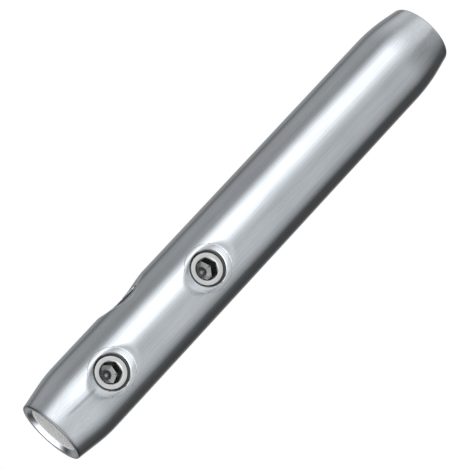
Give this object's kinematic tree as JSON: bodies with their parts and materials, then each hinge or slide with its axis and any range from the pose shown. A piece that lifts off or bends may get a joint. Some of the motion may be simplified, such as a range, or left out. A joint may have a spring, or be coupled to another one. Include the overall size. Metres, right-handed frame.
{
  "type": "scaffold spigot coupler",
  "caption": "Round steel spigot that joins scaffold leg tubes end to end, tapered at both ends, with countersunk hexagon-socket grub screws in one half that wind out to lock it.",
  "frame": {"origin": "centre of the plain end's face, the end without screws", "axes": "+Z along the tube towards the screw end; the front screws face -Y and the side screw faces +X"},
  "size_m": [0.035, 0.035, 0.237],
  "materials": {
    "tube": "bright zinc plate, polished along the tube",
    "bush": "bright zinc plate, dressed to the tube's curve, 0.2 mm under it",
    "screw": "clear zinc plate over turned steel",
    "circlip": "phosphated spring steel"
  },
  "bodies": {
    "spigot": {"spigot_tube": "tube", "upper_bush": "bush", "side_bush": "bush", "lower_bush": "bush"},
    "upper_carrier": {"upper_circlip": "circlip"},
    "upper_turner": {"upper_screw": "screw"},
    "side_carrier": {"side_circlip": "circlip"},
    "side_turner": {"side_screw": "screw"},
    "lower_carrier": {"lower_circlip": "circlip"},
    "lower_turner": {"lower_screw": "screw"}
  },
  "joints": [
    {"name": "upper_screw_travel", "type": "slide", "parent": "spigot", "child": "upper_carrier", "axis": [0, -1, 0], "range_m": [-0.0056, 0.0056]},
    {"name": "upper_screw_turn", "type": "hinge", "parent": "upper_carrier", "child": "upper_turner", "pos_m": [0, 0, 0.2055], "axis": [0, -1, 0], "range_deg": [-900, 882]},
    {"name": "side_screw_travel", "type": "slide", "parent": "spigot", "child": "side_carrier", "axis": [1, 0, 0], "range_m": [-0.0056, 0.0056]},
    {"name": "side_screw_turn", "type": "hinge", "parent": "side_carrier", "child": "side_turner", "pos_m": [0, 0, 0.176], "axis": [1, 0, 0], "range_deg": [-900, 882]},
    {"name": "lower_screw_travel", "type": "slide", "parent": "spigot", "child": "lower_carrier", "axis": [0, -1, 0], "range_m": [-0.0056, 0.0056]},
    {"name": "lower_screw_turn", "type": "hinge", "parent": "lower_carrier", "child": "lower_turner", "pos_m": [0, 0, 0.1465], "axis": [0, -1, 0], "range_deg": [-900, 882]}
  ],
  "couplings": [
    {"joint": "upper_screw_travel", "follows": "upper_screw_turn", "m_per_rad": 0.00031831},
    {"joint": "side_screw_travel", "follows": "side_screw_turn", "m_per_rad": 0.00031831},
    {"joint": "lower_screw_travel", "follows": "lower_screw_turn", "m_per_rad": 0.00031831}
  ]
}
